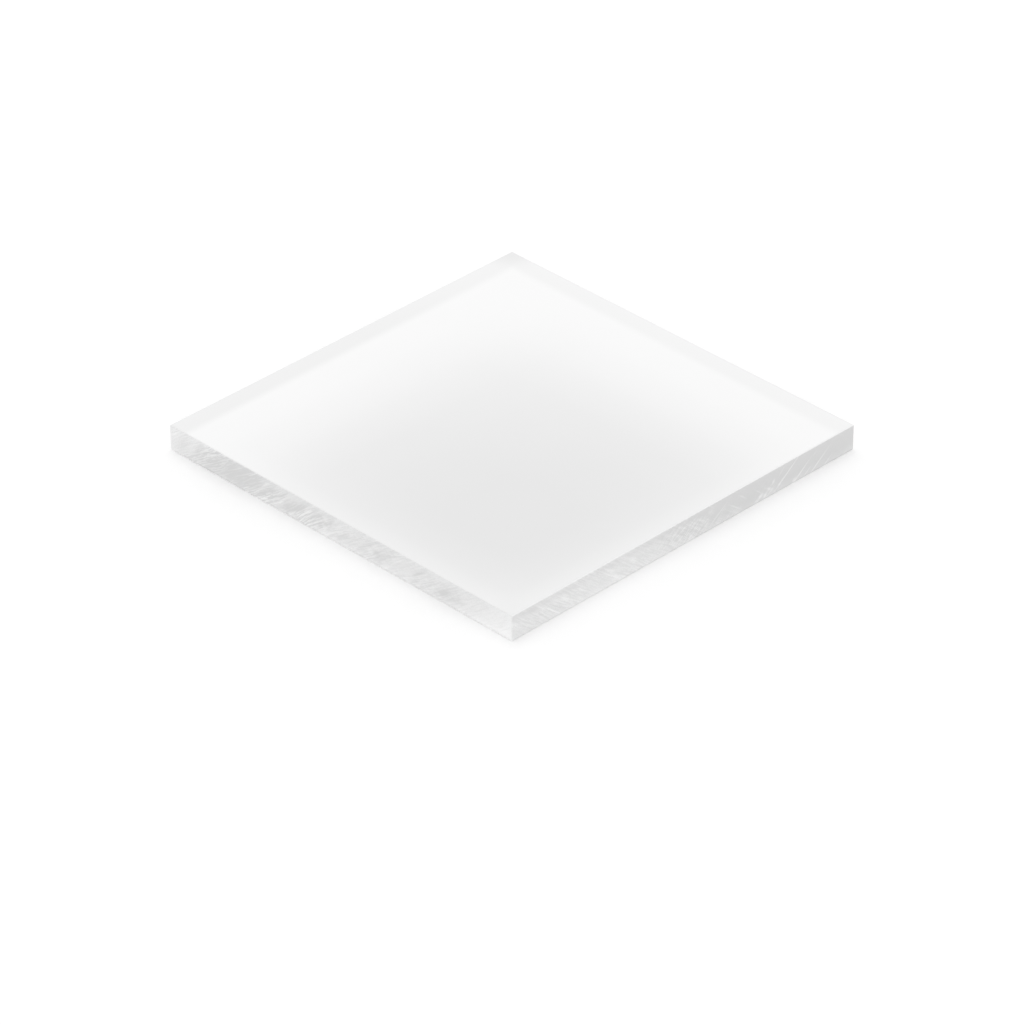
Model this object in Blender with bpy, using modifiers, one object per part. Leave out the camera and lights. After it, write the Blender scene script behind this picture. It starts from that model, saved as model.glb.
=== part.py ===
# Opal acrylic sheet: one square piece sawn from a cast sheet, lying flat.
# Metres, +Z up. The origin is the centre of the underside, on the ground.

import bpy

# The piece as it was cut
SHEET_LENGTH = 0.100      # along X, between two sawn edges
SHEET_WIDTH = 0.100       # along Y, between the other two
SHEET_THICKNESS = 0.006   # stock thickness, along Z, between the cast faces

# What was taken off the sharp edges after sawing
ARRIS_RADIUS = 0.0003     # where a cast face meets a sawn edge
CORNER_RADIUS = 0.0004    # upright corners, where two sawn edges meet
ROUND_SEGMENTS = 3        # flats that make up each rounding

# Milky white, glossy on the cast faces
OPAL_WHITE = (0.86, 0.86, 0.86, 1.0)
OPAL_ROUGHNESS = 0.2
ACRYLIC_IOR = 1.49

NAME = "opal_acrylic_sheet"


def clear_scene():
    for leftover in list(bpy.data.objects):
        bpy.data.objects.remove(leftover, do_unlink=True)


def make_collection():
    collection = bpy.data.collections.new(NAME)
    bpy.context.scene.collection.children.link(collection)
    return collection


def opal_acrylic():
    material = bpy.data.materials.new("opal_acrylic")
    material.use_nodes = True
    surface = material.node_tree.nodes["Principled BSDF"]
    surface.inputs["Base Color"].default_value = OPAL_WHITE
    surface.inputs["Roughness"].default_value = OPAL_ROUGHNESS
    surface.inputs["Metallic"].default_value = 0.0
    surface.inputs["IOR"].default_value = ACRYLIC_IOR
    return material


def sawn_blank():
    # A square-edged block that stands on the ground plane
    bpy.ops.mesh.primitive_cube_add(size=1.0, location=(0.0, 0.0, SHEET_THICKNESS / 2))
    blank = bpy.context.object
    blank.scale = (SHEET_LENGTH, SHEET_WIDTH, SHEET_THICKNESS)
    bpy.ops.object.transform_apply(location=True, rotation=False, scale=True)
    return blank


def ease_edges(sheet):
    # The saw leaves every edge sharp. The arrises round both cast faces are scraped,
    # and the four upright corners are rubbed down a little further.
    widest = max(ARRIS_RADIUS, CORNER_RADIUS)
    mesh = sheet.data
    share = mesh.attributes.new("bevel_weight_edge", "FLOAT", "EDGE")
    for edge in mesh.edges:
        start, end = (mesh.vertices[index].co for index in edge.vertices)
        upright = abs(end.z - start.z) > SHEET_THICKNESS / 2
        radius = CORNER_RADIUS if upright else ARRIS_RADIUS
        share.data[edge.index].value = radius / widest
    rounding = sheet.modifiers.new("eased_edges", "BEVEL")
    rounding.limit_method = "WEIGHT"
    rounding.width = widest
    rounding.segments = ROUND_SEGMENTS
    rounding.harden_normals = True
    mesh.shade_smooth()


def opal_acrylic_sheet(collection):
    sheet = sawn_blank()
    sheet.name = NAME
    sheet.data.name = NAME
    ease_edges(sheet)
    sheet.data.materials.append(opal_acrylic())
    for home in list(sheet.users_collection):
        home.objects.unlink(sheet)
    collection.objects.link(sheet)
    return sheet


def main():
    clear_scene()
    opal_acrylic_sheet(make_collection())


main()
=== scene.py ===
# Opal acrylic sheet: a square sawn from milky cast acrylic, lying on a white floor.
# Metres, +Z up. Values whose names end in Mm are millimetres, and levels are sRGB, from 0 to 255.
import math

import bpy
import numpy as np
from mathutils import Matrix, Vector
from mathutils.geometry import delaunay_2d_cdt


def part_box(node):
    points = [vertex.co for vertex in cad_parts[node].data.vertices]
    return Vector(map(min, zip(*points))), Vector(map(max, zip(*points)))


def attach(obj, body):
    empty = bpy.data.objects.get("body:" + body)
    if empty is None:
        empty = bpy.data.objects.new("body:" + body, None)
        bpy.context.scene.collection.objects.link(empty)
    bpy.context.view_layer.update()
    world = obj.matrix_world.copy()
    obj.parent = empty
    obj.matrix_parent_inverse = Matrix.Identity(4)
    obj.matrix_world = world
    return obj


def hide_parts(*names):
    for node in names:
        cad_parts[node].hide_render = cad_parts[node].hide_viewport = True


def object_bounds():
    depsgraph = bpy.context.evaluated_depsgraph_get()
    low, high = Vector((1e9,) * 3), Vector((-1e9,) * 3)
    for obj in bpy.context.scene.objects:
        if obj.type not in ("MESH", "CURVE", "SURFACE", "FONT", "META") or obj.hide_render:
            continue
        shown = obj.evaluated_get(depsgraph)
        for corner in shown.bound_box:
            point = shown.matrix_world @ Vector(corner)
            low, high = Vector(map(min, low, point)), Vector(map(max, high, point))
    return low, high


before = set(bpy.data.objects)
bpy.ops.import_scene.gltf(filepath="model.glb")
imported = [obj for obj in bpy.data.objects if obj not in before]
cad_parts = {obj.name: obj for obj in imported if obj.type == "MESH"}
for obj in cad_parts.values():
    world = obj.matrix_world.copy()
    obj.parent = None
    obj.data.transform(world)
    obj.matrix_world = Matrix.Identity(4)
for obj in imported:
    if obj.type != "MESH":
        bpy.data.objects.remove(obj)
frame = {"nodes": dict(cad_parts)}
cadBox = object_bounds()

mm = 0.001
imageSide = 1024  # pixels
whiteLevel = 255
print("frame loaded:", ", ".join(frame["nodes"]))


def linearColour(hexCode):
    # "#rrggbb" in sRGB to the linear values that the shaders take
    channels = [int(hexCode[i:i + 2], 16) / whiteLevel for i in (1, 3, 5)]
    linear = [c / 12.92 if c <= 0.04045 else ((c + 0.055) / 1.055) ** 2.4 for c in channels]
    return (*linear, 1.0)


def addNode(tree, kind, settings=None, inputs=None, links=None, stops=None):
    # settings: its properties; inputs: values of its sockets; links: sockets fed by other nodes;
    # stops: place and value along a ramp
    node = tree.nodes.new(kind)
    for name, value in (settings or {}).items():
        setattr(node, name, value)
    for name, value in (inputs or {}).items():
        node.inputs[name].default_value = value
    for name, source in (links or {}).items():
        tree.links.new(source, node.inputs[name])
    if stops:
        while len(node.color_ramp.elements) < len(stops):
            node.color_ramp.elements.new(1.0)
        for element, (place, value) in zip(node.color_ramp.elements, stops):
            element.position = place
            element.color = (value, value, value, 1.0)
    return node


def newMaterial(name):
    material = bpy.data.materials.new(name)
    material.use_nodes = True
    material.node_tree.nodes.clear()
    return material


# Camera: high over one corner of the sheet, with a long lens
camera = {
    "focalPixels": 5870.0,       # fits a side of 100 mm
    "distanceMm": 1211.4,        # from the middle of the upper face
    "azimuthDegrees": 45.0,      # a corner of the sheet points at the camera
    "elevationDegrees": 32.17,   # how high the camera stands
    "pitchDegrees": 33.02,       # how far it looks down
    "nearestMm": 50.0,           # nothing that is nearer or farther than these is drawn
    "farthestMm": 20000.0,
}


def makeCamera(c):
    azimuth, elevation, pitch = (
        math.radians(c[key]) for key in ("azimuthDegrees", "elevationDegrees", "pitchDegrees")
    )
    target = Vector((0, 0, cadBox[1].z))
    back = Vector((math.sin(azimuth) * math.cos(elevation),
                   -math.cos(azimuth) * math.cos(elevation),
                   math.sin(elevation)))
    data = bpy.data.cameras.new("camera")
    data.lens = data.sensor_width * c["focalPixels"] / imageSide
    data.clip_start = c["nearestMm"] * mm
    data.clip_end = c["farthestMm"] * mm
    view = bpy.data.objects.new("camera", data)
    view.location = target + back * c["distanceMm"] * mm
    view.rotation_euler = (math.pi / 2 - pitch, 0, azimuth)
    bpy.context.scene.collection.objects.link(view)
    bpy.context.scene.camera = view


makeCamera(camera)
print("camera made")


# The sheet: how its rims are rounded, how fine its mesh is, and what the blade left on its edges, with the
# painted light and shade there
sheet = {
    "arrisMm": 0.3,         # rounding where a cast face meets a sawn edge
    "cornerMm": 0.4,        # rounding of the upright corners
    "columnMm": 0.25,       # width of a face along a sawn edge
    "wallRows": 18,         # rows of faces up a sawn edge
    "arrisRows": 3,         # rows of faces round an arris
    "cornerColumns": 3,     # columns of faces round an upright corner
    "castRingsMm": (0.5, 1.0, 2.0, 4.0, 8.0, 16.0, 28.0),  # insets of the rings on a cast face
    "mergeMm": 1e-7,        # points of a cast face that are nearer than this become one

    "midHeightMm": 3,       # half the sheet's height, at which a stroke has its place along
    "markDepthMm": 0.045,   # of the deepest mark
    "cornerFadeMm": 0.5,    # the marks fade out over this, beside an upright corner
    "footArrisPaintedLight": 250,       # level of the lower arris: painted light, as it gets little light
    "arrisShare": 0.45,   # how far in on an arris its level is full: scraped above, painted light below
    "topShadeMm": (3.8, 5.2),   # heights between which the top's shade comes up
    "calmMm": (3.6, 5.4),       # and the calm
    "fullStrength": 8,      # of main and cross below, at which a field gives its level and relief
    "bladeTurn": {"feedMm": 1.35, "level": 2.0, "relief": 0.12},  # one mark for each turn
    # Random fields. draw: added to the edge's seed; start: where it begins in its table; sizeMm: of
    # one stroke or bump, across and along; level, relief: how much it changes them
    "fields": {
        "bend": {"draw": 0, "start": 40, "sizeMm": (9, 7), "reachMm": 0.6},
        "medium": {"draw": 1, "start": 90, "sizeMm": (0.8, 5.0), "level": 7, "relief": 0.5},
        "broad": {"draw": 2, "start": 90, "sizeMm": (2.2, 7.0), "level": 4, "relief": 0.25},
        "crossing": {"draw": 3, "start": 90, "sizeMm": (0.8, 5.0), "level": 8, "relief": 0.5},
        "gather": {"draw": 4, "start": 30, "sizeMm": (4.5, 3), "least": 0.3, "span": 1.4},
        "streak": {"draw": 5, "start": 90, "sizeMm": (0.55, 4.0), "share": 1.5},  # of a patch
    },
    # The finest strokes are in the material, whose noise is this far apart for each edge and for
    # the crossing strokes
    "edgeApart": 20.0,
    "crossApart": 9,

    # The edges that face -Y, +X, +Y and -X, seen from outside. Places are millimetres along from
    # the left and up from below, and turns are degrees. A pair is a place along and the value there.
    # lean, crossLean: how the main and the crossing strokes lean
    # main, cross: how strong they are
    # calm: how much weaker they are under the upper arris
    # tone: level at half height; its changes along the edge are painted reflection and shade
    # topShade: how many levels darker it is near the top
    # arris: level of the scraped upper arris
    # patches: along, up, length, width, turn and change of level; glazed where it is darker and
    # frosted where it is lighter
    # scratches: the same for thin lines
    # The photo shows the first two edges. Their values were set over several measured comparisons of the
    # render with the photo. The other two are made up in the same manner.
    "edges": (
        {
            "seed": 11,
            "lean": ((0, 32), (22, 34), (36, 38), (48, 37), (56, 32), (78, 32), (90, 37)),
            "crossLean": ((0, -34),),
            "main": ((0, 5), (5, 10), (20, 11), (26, 12), (34, 12), (37, 10), (44, 10.5), (52, 9),
                     (80, 8), (88, 4), (100, 2)),
            "cross": ((0, 0), (45, 1), (60, 4), (80, 4), (88, 2), (100, 1)),
            "calm": ((0, 0), (20, 0), (28, 0.35), (44, 0.45), (100, 0.4)),
            "tone": ((0, 230), (8, 224), (16, 208), (24, 208), (29, 217), (50, 224), (86, 225),
                     (92, 231), (100, 238)),
            "topShade": ((0, 1), (12, -1), (22, -5), (38, -3), (42, 0), (50, 0), (62, 3), (100, 1)),
            "arris": ((0, 226),),
            "patches": (
                (2.0, 4.6, 2.4, 0.8, 40, 5), (4.6, 3.2, 3.2, 1.2, 42, -5), (12.2, 3.9, 1.2, 0.6, 38, 5),
                (14.6, 3.9, 2.6, 0.7, 36, -17), (23.6, 5.1, 2.0, 0.6, 40, -17),
                (27.4, 2.0, 2.8, 0.5, 40, -10), (29.2, 4.6, 2.0, 0.6, 44, 9),
                (29.5, 2.8, 1.6, 0.4, 40, -10), (31.4, 1.9, 1.6, 0.4, 40, -4),
                (33.2, 2.1, 1.8, 0.7, 36, 11), (35.0, 2.2, 3.4, 0.6, 38, -5),
                (35.5, 1.4, 1.8, 0.5, 42, -12), (37.3, 0.7, 0.9, 0.4, 30, 5),
                (38.3, 2.8, 3.0, 0.45, 39, -20), (43.2, 3.4, 1.9, 0.4, 40, -13),
                (44.6, 3.4, 2.4, 0.4, 38, 4), (45.4, 2.4, 1.0, 0.6, 42, -26),
                (46.4, 3.4, 1.3, 0.5, -35, -24), (46.8, 0.8, 3.0, 0.9, 30, 9),
                (48.0, 4.4, 1.8, 1.1, 32, -5), (48.2, 4.2, 1.2, 0.55, 32, -16),
                (49.7, 3.0, 3.6, 0.35, 40, 5), (51.6, 2.6, 1.8, 0.9, 38, -7),
                (52.8, 3.2, 0.9, 0.4, -40, -9), (57.8, 3.2, 2.2, 0.5, 38, -5),
                (59.6, 2.4, 0.7, 0.5, 40, 7), (60.0, 4.1, 0.9, 0.6, 20, -6),
                (61.8, 3.0, 1.1, 0.6, 30, -15), (63.4, 5.3, 1.0, 0.5, 40, 6),
                (63.4, 2.9, 2.2, 1.2, 35, -6), (64.5, 1.0, 3.4, 0.7, 25, 3),
                (70.6, 2.8, 1.2, 0.6, 35, 5), (73.7, 3.8, 2.2, 0.4, 41, -12),
                (75.0, 4.2, 1.2, 0.4, 35, -6), (78.4, 1.3, 1.4, 0.5, 38, -6),
                (80.7, 2.6, 1.1, 0.55, 25, -14), (81.2, 2.6, 3.2, 1.8, 35, -6),
                (85.6, 3.9, 2.4, 1.0, 42, -3),
            ),
            "scratches": (
                (7.5, 4.4, 2.4, 0.13, 33, 9), (20.4, 4.4, 3.0, 0.14, 31, 10),
                (23.6, 4.6, 3.2, 0.13, 32, 12), (26.9, 2.2, 2.4, 0.14, 36, 10),
                (33.8, 3.9, 2.6, 0.14, 39, -12), (36.6, 2.6, 3.4, 0.15, 40, -8),
                (42.6, 3.2, 3.4, 0.14, 40, 11), (55.6, 1.6, 2.0, 0.13, 36, 10),
                (67.5, 3.6, 2.4, 0.13, 40, 9), (91.0, 3.2, 2.8, 0.12, 37, -7),
            ),
        },
        {
            "seed": 23,
            "lean": ((0, -37),),
            "crossLean": ((0, 38),),
            "main": ((0, 4.5), (30, 5), (40, 6), (50, 5), (60, 4), (68, 2.5), (75, 1), (100, 1)),
            "cross": ((0, 1), (36, 1), (43, 5), (52, 8), (62, 6), (69, 3), (74, 8), (80, 1), (100, 1)),
            "calm": ((0, 0),),
            "tone": ((0, 220), (12, 224), (30, 224), (42, 220), (54, 213), (66, 206), (100, 206)),
            "topShade": ((0, 6), (60, 4), (100, 2)),
            "arris": ((0, 235),),
            "patches": (
                (1.0, 3.2, 1.8, 0.6, -45, 10), (9.0, 0.8, 7.0, 0.7, 0, -4),
                (15.0, 3.0, 2.2, 0.9, -42, 6), (26.0, 3.2, 1.4, 0.7, -40, 5),
                (28.6, 2.3, 2.8, 0.8, -40, 10), (31.9, 5.0, 1.4, 0.6, -38, 5),
                (34.5, 3.2, 0.9, 0.8, -60, 6), (35.0, 0.7, 1.6, 0.6, -20, -4),
                (43.6, 1.6, 1.6, 0.9, -30, 5), (45.4, 0.9, 1.8, 0.7, -38, -8),
                (51.1, 2.2, 1.4, 0.5, -38, 5), (53.6, 2.4, 2.2, 0.8, 10, 6),
                (54.6, 0.8, 1.3, 0.6, -38, -11), (57.0, 5.0, 1.6, 0.7, 50, 8),
                (64.6, 1.4, 2.6, 0.8, -30, 7), (70.5, 0.7, 0.9, 0.4, 35, 8),
                (72.2, 1.1, 2.4, 0.8, 25, 9), (74.1, 1.3, 1.4, 0.9, -20, 8),
                (75.9, 0.9, 0.8, 0.5, 30, 8), (77.8, 2.3, 1.2, 0.35, 38, 13),
                (82.0, 0.9, 1.3, 0.5, 37, 12), (97.2, 0.4, 0.7, 0.4, 20, 8),
            ),
            "scratches": (
                (8.2, 4.2, 2.2, 0.12, -42, 7), (11.6, 1.9, 2.2, 0.15, -37, 15),
                (19.8, 3.0, 1.6, 0.12, -38, 7), (23.0, 2.6, 1.4, 0.12, -38, 8),
                (44.8, 2.2, 2.2, 0.13, -38, 8), (52.6, 2.4, 2.4, 0.14, -38, 10),
                (54.8, 3.0, 2.2, 0.13, -38, 9), (58.6, 2.4, 3.2, 0.15, 35, 13),
                (60.6, 3.2, 1.0, 0.12, 38, 9), (64.2, 2.2, 2.2, 0.14, -36, 12),
                (66.2, 3.8, 1.2, 0.14, -38, 12), (71.0, 2.8, 1.0, 0.14, -38, 9),
                (71.4, 1.2, 1.2, 0.18, 42, 12), (73.1, 1.0, 0.5, 0.3, 60, 9),
                (74.2, 2.1, 1.1, 0.28, -25, 12), (75.5, 3.2, 0.6, 0.32, 60, 16),
                (77.9, 4.6, 1.2, 0.13, 46, 11), (79.7, 3.5, 3.6, 0.15, 37, 22),
                (83.8, 1.8, 2.8, 0.17, 37, 20), (85.5, 0.9, 1.4, 0.13, 37, 14),
                (89.1, 1.9, 3.2, 0.15, 37, 19), (91.9, 1.0, 1.3, 0.13, 37, 14),
                (87.9, 4.5, 0.6, 0.12, 37, 10),
            ),
        },
        {
            "seed": 37,
            "lean": ((0, 36), (60, 40), (100, 37)),
            "crossLean": ((0, -36),),
            "main": ((0, 9), (50, 10), (66, 12), (88, 7), (100, 5)),
            "cross": ((0, 1), (30, 4), (50, 2), (100, 1)),
            "calm": ((0, 0.3),),
            "tone": ((0, 226), (12, 223), (20, 218), (34, 223), (50, 226), (64, 214), (74, 210),
                     (84, 220), (93, 229), (100, 232)),
            "topShade": ((0, 1),),
            "arris": ((0, 222), (20, 224), (40, 235)),
            "patches": (
                (17, 3.1, 1.8, 0.7, 38, -11), (31, 2.4, 2.2, 0.6, 40, 9), (42, 3.3, 1.5, 0.7, 40, -11),
                (56, 3.9, 2.4, 0.5, 40, 8), (88, 2.2, 1.6, 0.7, 36, -10),
            ),
            "scratches": (
                (9, 3.6, 2.6, 0.13, 38, 9), (26, 2.4, 3.0, 0.14, 39, 13), (68, 3.2, 3.2, 0.14, 41, 15),
                (72, 2.0, 2.0, 0.13, 41, 11), (79, 4.0, 2.4, 0.13, 40, 12),
            ),
        },
        {
            "seed": 41,
            "lean": ((0, -36), (50, -40)),
            "crossLean": ((0, 36),),
            "main": ((0, 7), (20, 11), (50, 9), (80, 9), (100, 7)),
            "cross": ((0, 1), (40, 4), (70, 2), (100, 2)),
            "calm": ((0, 0.3),),
            "tone": ((0, 230), (9, 223), (22, 214), (34, 210), (46, 219), (62, 225), (78, 224),
                     (90, 216), (100, 224)),
            "topShade": ((0, 3),),
            "arris": ((0, 234),),
            "patches": (
                (12, 2.8, 2.2, 0.6, -40, 9), (53, 2.3, 1.5, 0.8, -38, -11),
                (66, 3.4, 2.2, 0.6, -42, 10), (84, 2.6, 1.6, 0.8, -36, -10),
            ),
            "scratches": (
                (18, 2.6, 2.6, 0.13, -37, 11), (30, 3.4, 3.2, 0.15, -38, 16),
                (33, 1.8, 1.8, 0.13, -38, 12), (58, 3.0, 2.6, 0.13, 36, 9),
                (90, 3.4, 2.4, 0.14, -39, 13),
            ),
        },
    ),
}
tableSide = 256  # numbers along a side of the table behind a random field


def smoothStep(x, low, high):
    t = np.clip((x - low) / (high - low), 0, 1)
    return t * t * (3 - 2 * t)


def unevenness(field, x, y, seed):
    # Smooth random field from 0 to 1 with one bump for each of its sizes along x and y
    table = np.random.default_rng(seed + field["draw"]).random((tableSide, tableSide))
    x, y = x / field["sizeMm"][0] + field["start"], y / field["sizeMm"][1] + field["start"]
    x0, y0 = np.floor(x).astype(int), np.floor(y).astype(int)
    fx, fy = x - x0, y - y0
    fx, fy = fx * fx * (3 - 2 * fx), fy * fy * (3 - 2 * fy)
    left, right = x0 % tableSide, (x0 + 1) % tableSide
    below, above = y0 % tableSide, (y0 + 1) % tableSide
    low = table[left, below] * (1 - fx) + table[right, below] * fx
    high = table[left, above] * (1 - fx) + table[right, above] * fx
    return low * (1 - fy) + high * fy


def turned(u, v, degrees):
    # Places across and along strokes that lean at this angle
    c, s = math.cos(math.radians(degrees)), math.sin(math.radians(degrees))
    return u * s - v * c, u * c + v * s


def along(stops, u):
    # A value that changes along the edge
    return np.interp(u, *zip(*stops))


def footOf(u, v, lean):
    # Where a stroke through this point crosses half height
    return u - (v - sheet["midHeightMm"]) / np.tan(np.radians(along(lean, u)))


def strokePlace(u, v, lean, seed):
    # Across and along the strokes, which are a little bent, as the sheet was fed by hand
    turn = math.radians(sum(angle for _, angle in lean) / len(lean))
    field = sheet["fields"]["bend"]
    bend = field["reachMm"] * (unevenness(field, u, v, seed) - 0.5)
    return footOf(u, v, lean) * math.sin(turn) + bend, u * math.cos(turn) + v * math.sin(turn)


def strokes(field, place, seed):
    return unevenness(field, place[0], place[1], seed) - 0.5


def gathered(edge, u, v):
    # Strokes are stronger in some places than in others, a few millimetres apart, and most edges
    # were scraped calmer under the upper arris
    field = sheet["fields"]["gather"]
    uneven = unevenness(field, footOf(u, v, edge["lean"]), v, edge["seed"])
    share = field["least"] + field["span"] * uneven
    return share * (1 - along(edge["calm"], u) * smoothStep(v, *sheet["calmMm"]))


def sawnSurface(edge, u, v):
    # For points u along and v up a sawn edge: depth below the flat from 0 to 1, and level
    fields, blade, seed = sheet["fields"], sheet["bladeTurn"], edge["seed"]
    gather = gathered(edge, u, v)
    main = along(edge["main"], u) * gather / sheet["fullStrength"]
    cross = along(edge["cross"], u) * gather / sheet["fullStrength"]
    place = strokePlace(u, v, edge["lean"], seed)
    medium = strokes(fields["medium"], place, seed)
    broad = strokes(fields["broad"], place, seed)
    streak = strokes(fields["streak"], place, seed)
    crossing = strokes(fields["crossing"], strokePlace(u, v, edge["crossLean"], seed), seed)
    foot = footOf(u, v, edge["lean"])
    turns = np.sin(2 * np.pi * foot / blade["feedMm"])
    # the tone along the edge is painted reflection and shade
    level = along(edge["tone"], foot) - along(edge["topShade"], u) * smoothStep(v, *sheet["topShadeMm"])
    for far, up, length, width, turn, change in edge["patches"]:
        beside, onward = turned(u - far, v - up, turn)
        share = np.exp(-(beside / width) ** 2 - (onward / length) ** 2)
        # Fine streaks break the patch up
        level = level + (change + fields["streak"]["share"] * abs(change) * streak) * share
    level = (level + fields["medium"]["level"] * main * medium + fields["broad"]["level"] * main * broad
             + blade["level"] * main * turns + fields["crossing"]["level"] * cross * crossing)
    relief = (0.5 + fields["medium"]["relief"] * main * medium + fields["broad"]["relief"] * main * broad
              + fields["crossing"]["relief"] * cross * crossing + blade["relief"] * turns)
    return np.clip(1 - relief, 0, 1), level


def scratchPlaces(marks, u, v):
    # For the four corners of each face: how far across and along the nearest scratch they are, in
    # its widths and lengths, and how much it changes the level
    far, up, length, width, turn, change = np.array(marks, float).T
    c, s = np.cos(np.radians(turn)), np.sin(np.radians(turn))
    du, dv = u[..., None] - far, v[..., None] - up
    beside, onward = (du * s - dv * c) / width, (du * c + dv * s) / length
    nearest = np.argmin((beside ** 2 + onward ** 2).min(1), axis=-1)
    face = np.arange(len(u))
    return np.stack([beside[face, :, nearest], onward[face, :, nearest],
                     np.repeat(change[nearest, None], 4, axis=1)], axis=-1)


def outlineColumns(half, radius, runSteps, turnSteps):
    # Points round the sheet's outline, counterclockwise: place, outward normal, edge, run along it,
    # and share of the turn round the corner at its end
    points, normals, edges, runs, turnShares = [], [], [], [], []
    for k in range(4):
        tangent = np.array([math.cos(k * math.pi / 2), math.sin(k * math.pi / 2)])
        outward = np.array([tangent[1], -tangent[0]])
        for i in range(runSteps + 1):
            run = radius + 2 * (half - radius) * i / runSteps
            points.append(outward * half + tangent * (run - half))
            normals.append(outward)
            edges.append(k)
            runs.append(run)
            turnShares.append(0.0)
        centre = (outward + tangent) * (half - radius)
        for i in range(1, turnSteps):
            turn = math.pi / 2 * i / turnSteps
            normal = outward * math.cos(turn) + tangent * math.sin(turn)
            points.append(centre + radius * normal)
            normals.append(normal)
            edges.append(k)
            runs.append(2 * half)
            turnShares.append(i / turnSteps)
    return [np.array(row) for row in (points, normals, edges, runs, turnShares)]


def edgeRows(thickness, arris, arrisRows, wallRows):
    # From the underside up: how far in from the flat of the edge, and how high
    turns = [math.pi / 2 * i / arrisRows for i in range(arrisRows + 1)]
    lower = [(arris * (1 - math.sin(t)), arris * (1 - math.cos(t))) for t in turns]
    wall = [(0.0, arris + (thickness - 2 * arris) * i / wallRows) for i in range(1, wallRows)]
    upper = [(inset, thickness - height) for inset, height in reversed(lower)]
    return np.array(lower + wall + upper)


def castRings(half, insets):
    # Rings of points on a cast face, further apart towards its middle
    points = []
    for inset in insets:
        reach = half - inset
        line = np.linspace(-reach, reach, max(2, round(2 * reach / inset)) + 1)[:-1]
        points += [(x, -reach) for x in line] + [(reach, x) for x in line]
        points += [(-x, reach) for x in line] + [(-reach, -x) for x in line]
    return points + [(0, 0)]


def markEdges(s, rows, outline, half, thickness):
    # What the saw did at each height and place round the edges, with the painted light and shade there
    _, _, edges, runs, turnShares = outline
    arris, radius, turnSteps = s["arrisMm"], s["cornerMm"], s["cornerColumns"]
    depth, level, mainStrength, crossStrength = np.zeros((4, len(rows), len(runs)))
    mainPlace, crossPlace = np.zeros((2, len(rows), len(runs), 3))
    onArris = smoothStep(rows[:, 0] / arris, 0, s["arrisShare"])[:, None]
    for k, edge in enumerate(s["edges"]):
        own = edges == k
        u, v = np.meshgrid(runs[own], rows[:, 1])
        depth[:, own], sawn = sawnSurface(edge, u, v)
        # the lower arris is painted lighter: painted light where the floor shades it
        arrisLevel = np.where(v < thickness / 2, s["footArrisPaintedLight"], along(edge["arris"], u))
        level[:, own] = sawn + (arrisLevel - sawn) * onArris
        mainStrength[:, own] = along(edge["main"], u) * gathered(edge, u, v)
        crossStrength[:, own] = along(edge["cross"], u) * gathered(edge, u, v)
        for field, lean, apart in ((mainPlace, edge["lean"], 0),
                                   (crossPlace, edge["crossLean"], s["crossApart"])):
            across, onward = strokePlace(u, v, lean, edge["seed"])
            layer = np.full(u.shape, s["edgeApart"] * k + apart)
            field[:, own] = np.stack([across, onward, layer], -1)
    # Round an upright corner the tone goes over from one edge to the next
    for i in np.flatnonzero(turnShares):
        step = round(turnShares[i] * turnSteps)
        before, after = level[:, i - step], level[:, (i - step + turnSteps) % len(runs)]
        level[:, i] = before + (after - before) * turnShares[i]
    # The marks fade out on the arrises and corners
    fade = smoothStep(np.minimum(runs, 2 * half - runs), radius, radius + s["cornerFadeMm"])[None, :]
    fade = fade * (1 - rows[:, 0] / arris)[:, None]
    return depth * fade, level, mainStrength * fade, crossStrength * fade, mainPlace, crossPlace


def wallFaces(rowCount, columnCount):
    # For the four points of each face up and round the edges: their rows and columns
    column, row = np.meshgrid(np.arange(columnCount), np.arange(rowCount - 1))
    column, row = column.ravel(), row.ravel()
    onward = (column + 1) % columnCount
    return np.stack([row, row, row + 1, row + 1], -1), np.stack([column, onward, onward, column], -1)


def storeField(mesh, name, domain, values):
    # Keeps a number or a vector for each point or face corner; those beyond the edges get zeros
    kind, key = ("FLOAT_VECTOR", "vector") if values.ndim == 3 else ("FLOAT", "value")
    field = mesh.attributes.new(name, kind, domain)
    full = np.zeros(len(field.data) * (3 if values.ndim == 3 else 1), np.float32)
    full[:values.size] = values.ravel()
    field.data.foreach_set(key, full)


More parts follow.
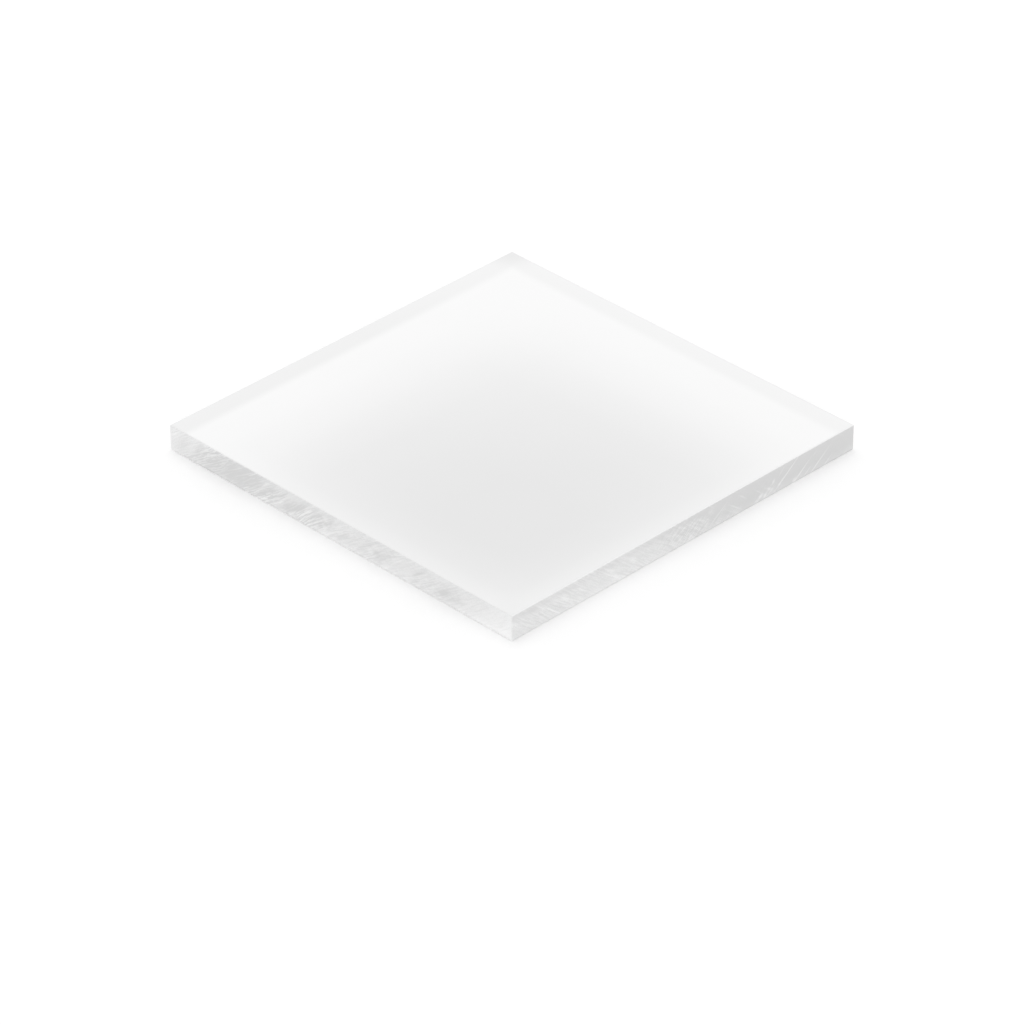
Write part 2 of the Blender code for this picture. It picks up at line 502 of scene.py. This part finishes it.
def makeSheet(s, lowest, highest):
    half, thickness = (highest.x - lowest.x) / 2 / mm, (highest.z - lowest.z) / mm
    runSteps = round(2 * (half - s["cornerMm"]) / s["columnMm"])
    outline = outlineColumns(half, s["cornerMm"], runSteps, s["cornerColumns"])
    points, normals, edges, runs, turnShares = outline
    rows = edgeRows(thickness, s["arrisMm"], s["arrisRows"], s["wallRows"])
    columnCount, rowCount = len(points), len(rows)
    depth, level, mainStrength, crossStrength, mainPlace, crossPlace = markEdges(
        s, rows, outline, half, thickness)

    # The marks are cut inward from the flat of the edge
    inset = rows[:, 0][:, None] + s["markDepthMm"] * depth
    x = points[None, :, 0] - normals[None, :, 0] * inset
    y = points[None, :, 1] - normals[None, :, 1] * inset
    z = np.broadcast_to(rows[:, 1][:, None], x.shape)
    verts = list(zip(x.ravel(), y.ravel(), z.ravel()))
    upward, columns = wallFaces(rowCount, columnCount)
    faces = (upward * columnCount + columns).tolist()
    wallCount = len(faces)
    scratchPlace = np.zeros((wallCount, 4, 3))
    for k, edge in enumerate(s["edges"]):
        own = (edges[columns] == k).all(1) & (turnShares[columns] == 0).all(1)
        scratchPlace[own] = scratchPlaces(edge["scratches"], runs[columns[own]], rows[upward[own], 1])
    scratchPlace /= (1, 1, whiteLevel)

    # The cast faces: triangles between the last row of points and the rings
    for row, height in ((0, 0.0), (rowCount - 1, thickness)):
        rim = [row * columnCount + i for i in range(columnCount)]
        flat = [Vector(verts[i][:2]) for i in rim] + [Vector(p) for p in castRings(half, s["castRingsMm"])]
        border = [(i, (i + 1) % columnCount) for i in range(columnCount)]
        _, _, triangles, _, _, _ = delaunay_2d_cdt(flat, border, [], 1, s["mergeMm"])
        numbers = rim + [len(verts) + i for i in range(len(flat) - columnCount)]
        verts += [(p.x, p.y, height) for p in flat[columnCount:]]
        for triangle in triangles:
            corners = [numbers[i] for i in triangle]
            faces.append(corners if row else corners[::-1])

    mesh = bpy.data.meshes.new("sawn_opal_sheet")
    mesh.from_pydata([(a * mm, b * mm, c * mm + lowest.z) for a, b, c in verts], [], faces)
    mesh.polygons.foreach_set("material_index", [1] * wallCount + [0] * (len(faces) - wallCount))
    mesh.shade_smooth()
    storeField(mesh, "sawLevel", "POINT", level / whiteLevel)
    storeField(mesh, "mainStrength", "POINT", mainStrength / whiteLevel)
    storeField(mesh, "crossStrength", "POINT", crossStrength / whiteLevel)
    storeField(mesh, "mainPlace", "POINT", mainPlace)
    storeField(mesh, "crossPlace", "POINT", crossPlace)
    storeField(mesh, "scratchPlace", "CORNER", scratchPlace)
    mesh.update()
    piece = bpy.data.objects.new("sawn_opal_sheet", mesh)
    bpy.context.scene.collection.objects.link(piece)
    piece.modifiers.new("weighted_normals", "WEIGHTED_NORMAL")
    print("sheet made:", len(verts), "points,", sum(len(f) - 2 for f in faces), "triangles")
    return piece


# Opal cast acrylic, poured between two sheets of glass: a bright, almost flat gloss over an even milk.
# Painted light and shade in its colour: light gathers near the rim, and it is greyer towards the middle of
# the sheet.
castFace = {
    # the rim colour is the lit one; the core colour below it is the painted shade
    "rim": "#fafafa",
    "paintedShadeCore": "#e6e6e6",
    # painted shade: how grey, from 0 at the edges towards -X and +Y, which the light comes over, to 1 across
    # from them
    "paintedGreying": ((0.0, 0.0), (0.06, 0.02), (0.15, 0.13), (0.25, 0.41), (0.35, 0.70), (0.45, 0.84),
                (0.60, 0.95), (0.75, 1.0), (0.88, 0.93), (0.95, 0.75), (1.0, 0.47)),
    # painted shade of the sawn edge, as if seen through the face at those two edges, faintly: how far in it
    # fades out, and its shade at each, first far from the corner between them, then near it
    "bandMm": (3.6, 6.4),
    "bandShade": ((0.45, 0.30), (0.27, 0.27)),
    "bandFadeMm": (45, 14),     # what is far from that corner, and what is near
    # painted shade at two corners: which one, its shade, and how far in it starts and stops fading
    "paintedCornerShade": (((-1, 1), 0.45, (1.5, 8.5)), ((1, -1), 0.22, (0, 8))),
    "roughness": (0.08, 0.15),
    "ior": 1.49,
    "mottleMm": 14,             # clouds in the milk
    "mottleShade": 0.06,
    "mottleDetail": 3.0,
    "mottleSpread": (0.3, 0.7),  # thin and thick cloud, for the roughness
    "waveMm": 22,               # the glass wasn't quite flat
    "waveDetail": 1.0,
    "waveBump": 0.3,
    "waveHeightMm": 0.05,
}

# The same acrylic where the saw cut it: matt white frost in leaning strokes, with darker spots where the
# blade rubbed and glazed it. Its level also carries painted reflection and shade along the edge, and painted
# light at the foot.
sawnFace = {
    "dark": "#d9d9d9",
    "light": "#fefefe",
    "levels": (209.5, 245.5),   # at which it is dark and light
    "darkest": 209,             # a glazed spot gets no darker than this
    "paintedFootLight": 8,              # painted light: the foot of the edge is lighter by this, in levels
    "footMm": (0.2, 2.6),
    "roughness": (0.38, 0.6),   # glazed, frosted
    "ior": 1.49,
    "strokeMm": (0.36, 4.2),    # width and length of one stroke
    "strokeDetail": 3.0,
    "strokeRoughness": 0.7,
    "strokeSpread": (0.43, 0.57),   # noise that is a full dark and a full light stroke
    "strokeShare": 0.7,         # what such a stroke changes, as a share of the strength there
    "grainMm": 0.2,             # frost is finer than this; drawn coarse enough to show
    "grainDetail": 2.0,
    "grainSpread": (0.35, 0.65),
    "grain": 5,                 # how much a grain changes the level where the frost is full
    "grainLevels": (212, 224),  # where the frost starts and is full
    "grainRelief": 0.01,        # height of a grain, where 1 is the height below
    "bump": 0.5,
    "bumpHeightMm": 0.4,        # what a change from black to white would stand out
}


def castOpalAcrylic(c, side, top):
    material = newMaterial("castOpalAcrylic")
    tree = material.node_tree
    place = addNode(tree, "ShaderNodeTexCoord").outputs["Object"]
    axes = addNode(tree, "ShaderNodeSeparateXYZ", links={"Vector": place})
    sideMm = side / mm
    # How far over from the edges towards -X and +Y, from 0 to 1
    over = [addNode(tree, "ShaderNodeMapRange", {}, {"From Min": start, "From Max": -start},
                    {"Value": axes.outputs[axis]}).outputs["Result"]
            for axis, start in (("X", -side / 2), ("Y", side / 2))]
    shades, bands = [], []
    # painted shade: greying towards the middle, and the sawn edge painted as if seen through the face
    for here, other, (away, near) in zip(over, over[::-1], c["bandShade"]):
        shade = addNode(tree, "ShaderNodeValToRGB", links={"Fac": here}, stops=c["paintedGreying"])
        shade.color_ramp.interpolation = "CARDINAL"
        strength = addNode(tree, "ShaderNodeMapRange", {}, {
            "From Min": c["bandFadeMm"][1] / sideMm, "From Max": c["bandFadeMm"][0] / sideMm,
            "To Min": near, "To Max": away}, {"Value": other})
        # painted shade of the sawn edge seen through the face
        band = addNode(tree, "ShaderNodeMapRange", {"interpolation_type": "SMOOTHSTEP"}, {
            "From Min": c["bandMm"][0] / sideMm, "From Max": c["bandMm"][1] / sideMm, "To Max": 0.0},
            {"Value": here, "To Min": strength.outputs["Result"]})
        shades.append(shade.outputs["Color"])
        bands.append(band.outputs["Result"])
    paintedShadeAndMottle = addNode(tree, "ShaderNodeMath", {"operation": "MULTIPLY"}, {}, {0: shades[0], 1: shades[1]})
    band = addNode(tree, "ShaderNodeMath", {"operation": "MAXIMUM"}, {}, {0: bands[0], 1: bands[1]})
    parts = [band.outputs[0]]
    # painted shade at two corners
    for (x, y), shade, (start, end) in c["paintedCornerShade"]:
        away = addNode(tree, "ShaderNodeVectorMath", {"operation": "DISTANCE"}, {
            1: (x * side / 2, y * side / 2, top)}, {0: place})
        tip = addNode(tree, "ShaderNodeMapRange", {"interpolation_type": "SMOOTHSTEP"}, {
            "From Min": start * mm, "From Max": end * mm, "To Min": shade, "To Max": 0.0},
            {"Value": away.outputs["Value"]})
        parts.append(tip.outputs["Result"])
    for part in parts:
        paintedShadeAndMottle = addNode(tree, "ShaderNodeMath", {"operation": "ADD"}, {}, {0: paintedShadeAndMottle.outputs[0], 1: part})
    cloud = addNode(tree, "ShaderNodeTexNoise", {}, {
        "Scale": 1 / (c["mottleMm"] * mm), "Detail": c["mottleDetail"]}, {"Vector": place})
    paintedShadeAndMottle = addNode(tree, "ShaderNodeMath", {"operation": "MULTIPLY_ADD"}, {1: c["mottleShade"]}, {
        0: cloud.outputs["Fac"], 2: paintedShadeAndMottle.outputs[0]})
    colour = addNode(tree, "ShaderNodeMix", {"data_type": "RGBA"}, {
        6: linearColour(c["rim"]), 7: linearColour(c["paintedShadeCore"])}, {"Factor": paintedShadeAndMottle.outputs[0]})
    roughness = addNode(tree, "ShaderNodeMapRange", {}, {
        "From Min": c["mottleSpread"][0], "From Max": c["mottleSpread"][1],
        "To Min": c["roughness"][0], "To Max": c["roughness"][1]}, {"Value": cloud.outputs["Fac"]})
    wave = addNode(tree, "ShaderNodeTexNoise", {}, {
        "Scale": 1 / (c["waveMm"] * mm), "Detail": c["waveDetail"]}, {"Vector": place})
    bump = addNode(tree, "ShaderNodeBump", {}, {
        "Strength": c["waveBump"], "Distance": c["waveHeightMm"] * mm}, {"Height": wave.outputs["Fac"]})
    surface = addNode(tree, "ShaderNodeBsdfPrincipled", {}, {"IOR": c["ior"]}, {
        "Base Color": colour.outputs[2], "Roughness": roughness.outputs["Result"],
        "Normal": bump.outputs["Normal"]})
    addNode(tree, "ShaderNodeOutputMaterial", links={"Surface": surface.outputs["BSDF"]})
    return material


def sawnOpalAcrylic(c):
    material = newMaterial("sawnOpalAcrylic")
    tree = material.node_tree
    width, length = c["strokeMm"]
    # the sawn edge's level from the mesh, with its painted reflection and shade, and the painted light on
    # the lower arris
    level = addNode(tree, "ShaderNodeAttribute", {"attribute_name": "sawLevel"}).outputs["Fac"]
    # The finest strokes: noise that is drawn out along them
    lifts = []
    for name in ("main", "cross"):
        place = addNode(tree, "ShaderNodeAttribute", {"attribute_name": name + "Place"})
        strength = addNode(tree, "ShaderNodeAttribute", {"attribute_name": name + "Strength"})
        scaled = addNode(tree, "ShaderNodeVectorMath", {"operation": "MULTIPLY"}, {
            1: (1 / width, 1 / length, 1.0)}, {0: place.outputs["Vector"]})
        noise = addNode(tree, "ShaderNodeTexNoise", {}, {
            "Scale": 1.0, "Detail": c["strokeDetail"], "Roughness": c["strokeRoughness"]},
            {"Vector": scaled.outputs["Vector"]})
        stroke = addNode(tree, "ShaderNodeMapRange", {"interpolation_type": "SMOOTHSTEP"}, {
            "From Min": c["strokeSpread"][0], "From Max": c["strokeSpread"][1],
            "To Min": -c["strokeShare"], "To Max": c["strokeShare"]}, {"Value": noise.outputs["Fac"]})
        lift = addNode(tree, "ShaderNodeMath", {"operation": "MULTIPLY"}, {}, {
            0: stroke.outputs["Result"], 1: strength.outputs["Fac"]})
        level = addNode(tree, "ShaderNodeMath", {"operation": "ADD"}, {}, {
            0: level, 1: lift.outputs[0]}).outputs[0]
        lifts.append(lift.outputs[0])
    height = addNode(tree, "ShaderNodeMath", {"operation": "ADD"}, {}, {0: lifts[0], 1: lifts[1]}).outputs[0]
    level = addNode(tree, "ShaderNodeMath", {"operation": "MAXIMUM"}, {1: c["darkest"] / whiteLevel},
                    {0: level}).outputs[0]
    # Scratches: they fall off with the square of the distance, in their own widths and lengths
    scratch = addNode(tree, "ShaderNodeAttribute", {"attribute_name": "scratchPlace"})
    change = addNode(tree, "ShaderNodeSeparateXYZ", links={"Vector": scratch.outputs["Vector"]}).outputs["Z"]
    flat = addNode(tree, "ShaderNodeVectorMath", {"operation": "MULTIPLY"}, {1: (1, 1, 0)},
                   {0: scratch.outputs["Vector"]})
    away = addNode(tree, "ShaderNodeVectorMath", {"operation": "DOT_PRODUCT"}, {}, {
        0: flat.outputs["Vector"], 1: flat.outputs["Vector"]})
    fall = addNode(tree, "ShaderNodeMath", {"operation": "POWER"}, {0: math.exp(-1)},
                   {1: away.outputs["Value"]})
    line = addNode(tree, "ShaderNodeMath", {"operation": "MULTIPLY"}, {}, {
        0: fall.outputs[0], 1: change}).outputs[0]
    height = addNode(tree, "ShaderNodeMath", {"operation": "ADD"}, {}, {0: height, 1: line}).outputs[0]
    level = addNode(tree, "ShaderNodeMath", {"operation": "ADD"}, {}, {0: level, 1: line}).outputs[0]
    # Frost: a fine grain, where the level says that there is some
    place = addNode(tree, "ShaderNodeTexCoord").outputs["Object"]
    grain = addNode(tree, "ShaderNodeTexNoise", {}, {
        "Scale": 1 / (c["grainMm"] * mm), "Detail": c["grainDetail"]}, {"Vector": place})
    frosted = addNode(tree, "ShaderNodeMapRange", {}, {
        "From Min": c["grainLevels"][0] / whiteLevel, "From Max": c["grainLevels"][1] / whiteLevel,
        "To Max": c["grain"] / whiteLevel}, {"Value": level})
    speck = addNode(tree, "ShaderNodeMapRange", {}, {
        "From Min": c["grainSpread"][0], "From Max": c["grainSpread"][1], "To Min": -1.0},
        {"Value": grain.outputs["Fac"]})
    level = addNode(tree, "ShaderNodeMath", {"operation": "MULTIPLY_ADD"}, {}, {
        0: speck.outputs["Result"], 1: frosted.outputs["Result"], 2: level}).outputs[0]
    # painted light: lighter towards the foot of the edge
    up = addNode(tree, "ShaderNodeSeparateXYZ", links={"Vector": place}).outputs["Z"]
    foot = addNode(tree, "ShaderNodeMapRange", {"interpolation_type": "SMOOTHSTEP"}, {
        "From Min": c["footMm"][0] * mm, "From Max": c["footMm"][1] * mm,
        "To Min": c["paintedFootLight"] / whiteLevel, "To Max": 0.0}, {"Value": up})
    level = addNode(tree, "ShaderNodeMath", {"operation": "ADD"}, {}, {
        0: level, 1: foot.outputs["Result"]}).outputs[0]
    frost = addNode(tree, "ShaderNodeMapRange", {}, {
        "From Min": c["levels"][0] / whiteLevel, "From Max": c["levels"][1] / whiteLevel}, {"Value": level})
    colour = addNode(tree, "ShaderNodeMix", {"data_type": "RGBA"}, {
        6: linearColour(c["dark"]), 7: linearColour(c["light"])}, {"Factor": frost.outputs["Result"]})
    roughness = addNode(tree, "ShaderNodeMapRange", {}, {
        "To Min": c["roughness"][0], "To Max": c["roughness"][1]}, {"Value": frost.outputs["Result"]})
    relief = addNode(tree, "ShaderNodeMath", {"operation": "MULTIPLY_ADD"}, {1: c["grainRelief"]},
                     {0: grain.outputs["Fac"], 2: height})
    bump = addNode(tree, "ShaderNodeBump", {}, {"Strength": c["bump"], "Distance": c["bumpHeightMm"] * mm},
                   {"Height": relief.outputs[0]})
    surface = addNode(tree, "ShaderNodeBsdfPrincipled", {}, {"IOR": c["ior"]}, {
        "Base Color": colour.outputs[2], "Roughness": roughness.outputs["Result"],
        "Normal": bump.outputs["Normal"]})
    addNode(tree, "ShaderNodeOutputMaterial", links={"Surface": surface.outputs["BSDF"]})
    return material


lowest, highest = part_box("opal_acrylic_sheet")
piece = makeSheet(sheet, lowest, highest)
piece.data.materials.append(castOpalAcrylic(castFace, highest.x - lowest.x, highest.z))
piece.data.materials.append(sawnOpalAcrylic(sawnFace))
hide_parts("opal_acrylic_sheet")
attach(piece, "root")
print("materials made")


# Floor, light and background: matt white paint, even and without gloss, under a bright sky and one
# soft box
studio = {
    "floor": "#f2f2f2",
    "floorRoughness": 0.9,
    "floorReachMm": 3000,
    # what brings the floor to white for the camera: beside the sheet, and further out, where the
    # soft box hardly reaches
    "floorLift": (0.14, 0.40),
    "liftMm": (110, 900),
    "horizon": 1.3,             # strength of the sky on the object, low down
    "zenith": 0.62,             # and overhead
    "softBoxWatts": 2.82,
    "softBoxMm": 900,
    "softBoxAtMm": (-200, 200, 1200),
}


def whiteToCamera(tree):
    # 1 for rays from the camera, and for those that gloss or clear plastic sends on
    path = addNode(tree, "ShaderNodeLightPath")
    glossy = addNode(tree, "ShaderNodeMath", {"operation": "MAXIMUM"}, {}, {
        0: path.outputs["Is Camera Ray"], 1: path.outputs["Is Glossy Ray"]})
    clear = addNode(tree, "ShaderNodeMath", {"operation": "MAXIMUM"}, {}, {
        0: glossy.outputs[0], 1: path.outputs["Is Transmission Ray"]})
    return clear.outputs[0]


def makeSky(s):
    world = bpy.data.worlds.new("studio")
    bpy.context.scene.world = world
    world.use_nodes = True
    tree = world.node_tree
    tree.nodes.clear()
    direction = addNode(tree, "ShaderNodeTexCoord").outputs["Generated"]
    up = addNode(tree, "ShaderNodeSeparateXYZ", links={"Vector": direction}).outputs["Z"]
    lighting = addNode(tree, "ShaderNodeMapRange", {}, {"To Min": s["horizon"], "To Max": s["zenith"]},
                       {"Value": up})
    strength = addNode(tree, "ShaderNodeMapRange", links={
        "Value": whiteToCamera(tree), "To Min": lighting.outputs["Result"]})
    background = addNode(tree, "ShaderNodeBackground", {}, {"Color": (1, 1, 1, 1)},
                         {"Strength": strength.outputs["Result"]})
    addNode(tree, "ShaderNodeOutputWorld", links={"Surface": background.outputs[0]})


def makeFloor(s):
    mesh = bpy.data.meshes.new("floor")
    reach = s["floorReachMm"] * mm
    mesh.from_pydata([(-reach, -reach, 0), (reach, -reach, 0), (reach, reach, 0), (-reach, reach, 0)],
                     [], [(0, 1, 2, 3)])
    floor = bpy.data.objects.new("floor", mesh)
    bpy.context.scene.collection.objects.link(floor)
    material = newMaterial("mattWhitePaint")
    tree = material.node_tree
    place = addNode(tree, "ShaderNodeTexCoord").outputs["Object"]
    out = addNode(tree, "ShaderNodeVectorMath", {"operation": "LENGTH"}, {}, {0: place})
    white = addNode(tree, "ShaderNodeMapRange", {}, {
        "From Min": s["liftMm"][0] * mm, "From Max": s["liftMm"][1] * mm,
        "To Min": s["floorLift"][0], "To Max": s["floorLift"][1]}, {"Value": out.outputs["Value"]})
    lift = addNode(tree, "ShaderNodeMath", {"operation": "MULTIPLY"}, {}, {
        0: white.outputs["Result"], 1: whiteToCamera(tree)})
    surface = addNode(tree, "ShaderNodeBsdfPrincipled", {}, {
        "Base Color": linearColour(s["floor"]), "Roughness": s["floorRoughness"],
        "Emission Color": (1, 1, 1, 1)}, {"Emission Strength": lift.outputs[0]})
    addNode(tree, "ShaderNodeOutputMaterial", links={"Surface": surface.outputs["BSDF"]})
    mesh.materials.append(material)


def makeSoftBox(s):
    light = bpy.data.lights.new("softBox", "AREA")
    light.shape = "SQUARE"
    light.size = s["softBoxMm"] * mm
    light.energy = s["softBoxWatts"]
    lamp = bpy.data.objects.new("softBox", light)
    lamp.location = Vector(s["softBoxAtMm"]) * mm
    lamp.rotation_euler = (-lamp.location).to_track_quat("-Z", "Y").to_euler()
    bpy.context.scene.collection.objects.link(lamp)


makeSky(studio)
makeFloor(studio)
makeSoftBox(studio)
bpy.context.scene.view_settings.view_transform = "Standard"
print("studio made")
